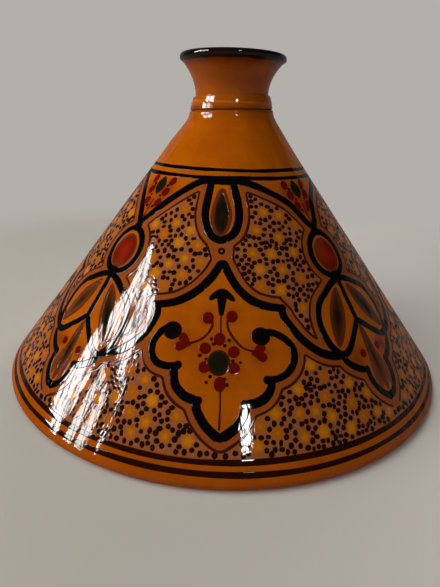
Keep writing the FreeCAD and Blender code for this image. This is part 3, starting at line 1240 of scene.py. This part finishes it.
def dishGlaze():
    # the same honey with a black rim, bare clay on the foot and under it
    finish, spot, (x, y, z), base, rings, runs = startGlaze("dishGlaze")
    radius = fromAxis(x, y)
    edge = finish.noise(spot, 60.0, 2.0) * 0.0012
    line = (radius + edge).step(*dishTones["lineRadius"]) * (z + edge).step(*dishTones["lineHeight"])
    base = finish.mix(line, base, cup["lip"])
    recess = radius.step(*dishTones["recessRadius"]) * z.step(*dishTones["recessHeight"])
    bare = (1 - (z + runs * 0.002).step(*dishTones["bare"]) + recess).maths("MINIMUM", 1.0)
    height = finish.noise(spot, skin["dimples"]) * 0.5 + rings * 0.4
    return finish.glazed(finish.mix(bare, base, honey["clay"]), height, (1 - bare) * skin["gloss"])


def slip(name, middle, edge, cloud=90.0, shade=None):
    # a slip or stain under the glaze: middle colour inside, edge colour where it thins out, and
    # shade in broad patches
    finish = Finish(name)
    spot = finish.place()
    patch = finish.noise(spot, cloud, 3.0, 0.6)
    tone = finish.value("tone")
    share = (tone * tone * 0.8 + patch * 0.6 - 0.3).maths("ADD", 0.0, clamp=True)
    base = finish.mix(share, colour(*middle), colour(*edge))
    if shade:
        base = finish.mix(finish.noise(spot, 22.0, 2.0).step(0.45, 0.65, 0.5), base, colour(*shade))
    combing, gloss = glazeSkin(finish, spot)
    return finish.glazed(base, finish.noise(spot, 240.0, 2.0) * 0.2 + combing, gloss)


honeyGlaze().on(lidPiece)
cupGlaze().on(handlePiece)
dishGlaze().on(dishPiece)
for key, (name, *recipe) in coats.items():
    slip(*recipe).on(coatPieces[key])
print("finishes made")

stage = {
    # painted light and shade on the floor: darker to the left, brighter to the right
    "floorShadedLeft": colour(180, 175, 164),
    "floorLitRight": colour(206, 200, 192),
    "floorLightTurns": (-0.25, 0.25),  # how far left and right one tone goes over to the other
    "floorFades": (0.34, 0.62),  # how far out the floor turns into the pale distance
    "floorHalf": 6,
    "drop": -0.0003,  # the floor lies a hair under the pot, whose foot also ends at 0
    "wall": colour(179, 176, 172),
    "wallAt": 0.18,
    "wallTurn": 0.25,  # how much further back it stands for each unit to the right
    "wallEnds": (-0.2, 0.42),
    "wallHeight": 0.36,
    "world": 0.02,
    "worldTint": (0.93, 0.95, 1.0),
    "paleSky": (0.12, 0.4),  # sines of the elevations between which the sky turns dim
    "dimSide": (-1.1, -0.4),  # and how far to the left it is dimmer low down as well
}


def sheetPiece(name, corners):
    # one flat face through the corners, for the floor or the wall behind the pot
    mesh = bpy.data.meshes.new(name)
    mesh.from_pydata(corners, [], [tuple(range(len(corners)))])
    made = addObject(name, mesh)
    return made


def plain(name, tone):
    # a dull finish of one tone
    finish = Finish(name)
    finish.set(Base_Color=tone, Roughness=0.6, Specular_IOR_Level=0.0)
    return finish


def selfLit(finish, tone, share=1.0):
    # shows its own tone to the camera and in reflections, whatever light falls on it
    rays = finish.node("ShaderNodeLightPath")
    glow = finish.node("ShaderNodeEmission", None, Color=tone)[0]
    seen = rays[0].maths("MAXIMUM", rays[3]).maths("MAXIMUM", rays[6]) * share
    finish.result = finish.blend(seen, finish.result, glow)
    return finish


def oneSided(finish):
    # is only there for what faces it, and shades nothing, so it hides nothing from behind
    clear = finish.node("ShaderNodeBsdfTransparent")[0]
    rear = finish.node("ShaderNodeNewGeometry")[6].maths("MAXIMUM", finish.node("ShaderNodeLightPath")[1])
    finish.result = finish.blend(rear, finish.result, clear)
    return finish


def makeFloor():
    # pale stone with painted light and shade, darker to the left and brighter to the right, that fades into
    # the distance
    half = stage["floorHalf"]
    piece = sheetPiece("paleFloor", [
        (x, y, stage["drop"]) for x, y in ((-half, -half), (half, -half), (half, half), (-half, half))])
    stone = plain("paleStone", stage["floorShadedLeft"])
    x, y, z = stone.split(stone.place())
    # painted light and shade: the floor goes from darker on the left to brighter on the right
    stone.set(Base_Color=stone.mix(x.step(*stage["floorLightTurns"]), stage["floorShadedLeft"], stage["floorLitRight"]))
    away = fromAxis(x, y).step(*stage["floorFades"])
    oneSided(selfLit(stone, stage["wall"], away)).on(piece)


def makeWall():
    # stands behind the pot, turned a little, and is only there for the gloss of the glaze
    near, far = stage["wallEnds"]
    piece = sheetPiece("paleWall", [
        (x, stage["wallAt"] + x * stage["wallTurn"], z * stage["wallHeight"])
        for x, z in ((near, 0), (far, 0), (far, 1), (near, 1))])
    piece.visible_camera = piece.visible_diffuse = piece.visible_shadow = False
    oneSided(selfLit(plain("palePlaster", stage["wall"]), stage["wall"])).on(piece)


makeFloor()
makeWall()

windows = {
    # name: (turn from, turn to, elevation from, elevation to, brightness)
    "nearUpper": (-60.8, -73.4, 29, 40.6, 66),
    "nearLowerA": (-64.6, -69.2, 16.5, 26.2, 50),
    "nearLowerB": (-71.2, -75.6, 15, 25.8, 50),
    "farUpper": (-76.8, -87.4, 26.4, 39.4, 62),
    "farLower": (-79.4, -91, 11.5, 23.2, 60),
    "nearEdge": (-57.8, -58.8, 21, 35, 74),
    "smallWindow": (11.9, 18.2, 33.4, 38.4, 110),
}
softLamps = {
    # name: (place, side in metres, watts)
    "softLeft": ((-0.98, -0.22, 0.75), 0.8, 8.5),
    "softFront": ((-0.8, -0.8, 0.9), 0.8, 3.2),
    "softCamera": ((0, -0.9, 1.2), 0.9, 2.7),
    "softTop": ((-0.12, -0.02, 0.75), 0.4, 1.2),
    "softBack": ((0.25, 1.1, 0.65), 0.8, 6.8),
    "softBelow": ((0, 0, -0.9), 0.8, 2.5),
}
middle = Vector((0, 0, 0.06))  # what the lamps point at
windowDistance = 6.0


def aimed(name, position, target, width, height, watts, mirrored):
    # a mirrored lamp shows only in the gloss of the glaze, any other one only as light on it
    data = bpy.data.lights.new(name, "AREA")
    data.shape, data.size, data.size_y, data.energy = "RECTANGLE", width, height, watts
    lamp = addObject(name, data)
    lamp.visible_diffuse, lamp.visible_glossy = not mirrored, mirrored
    aim = (target - position).to_track_quat("-Z", "Y").to_matrix().to_4x4()
    lamp.matrix_world = Matrix.Translation(position) @ aim


for name, (turnA, turnB, low, high, brightness) in windows.items():
    # an upright pane seen between those turns and elevations; watts = pi * area * brightness
    turn, far = math.radians((turnA + turnB) / 2), windowDistance
    bottom, top = far * math.tan(math.radians(low)), far * math.tan(math.radians(high))
    width = 2 * far * math.tan(math.radians(abs(turnB - turnA)) / 2)
    position = middle + Vector((far * math.sin(turn), -far * math.cos(turn), (bottom + top) / 2))
    watts = math.pi * width * (top - bottom) * brightness
    aimed(name, position, Vector((middle.x, middle.y, position.z)), width, top - bottom, watts, True)
for name, (place, side, watts) in softLamps.items():
    aimed(name, Vector(place), middle, side, side, watts, False)


class Sky(Finish):
    # the world's nodes, reached in the same way as a material's
    def __init__(self, world):
        self.tree = world.node_tree


def makeSky():
    # faint light from all round; the camera sees it pale, and a gloss shows it pale low down only
    world = bpy.data.worlds.new("studio")
    bpy.context.scene.world = world
    world.use_nodes = True
    sky = Sky(world)
    rays = sky.node("ShaderNodeLightPath")
    aside, ahead, climb = sky.split(sky.node("ShaderNodeTexCoord")[0])
    low = (1 - climb.step(*stage["paleSky"])) * aside.step(*stage["dimSide"])
    faint = (*[stage["world"] * v for v in stage["worldTint"]], 1.0)
    shown = rays[0].maths("MAXIMUM", rays[3].maths("MAXIMUM", rays[6]) * low)
    sky.put(world.node_tree.nodes["Background"].inputs[0], sky.mix(shown, faint, stage["wall"]))


makeSky()
camera = {"place": (0, -0.3105, 0.1632), "yaw": -0.61, "down": 21.34, "roll": 1.92, "lens": 27.34}


def makeCamera():
    # turns to the right by yaw, tips down from level, then rolls about its line of sight
    yaw, down, roll = (math.radians(camera[k]) for k in ("yaw", "down", "roll"))
    data = bpy.data.cameras.new("viewer")
    data.lens, data.sensor_width, data.sensor_fit, data.clip_start = camera["lens"], 36, "AUTO", 0.01
    made = addObject("viewer", data)
    aim = Matrix.Rotation(-yaw, 4, "Z") @ Matrix.Rotation(math.pi / 2 - down, 4, "X")
    made.matrix_world = Matrix.Translation(camera["place"]) @ aim @ Matrix.Rotation(roll, 4, "Z")
    bpy.context.scene.camera = made


makeCamera()
bpy.context.scene.view_settings.view_transform = "Standard"
print("scene ready")
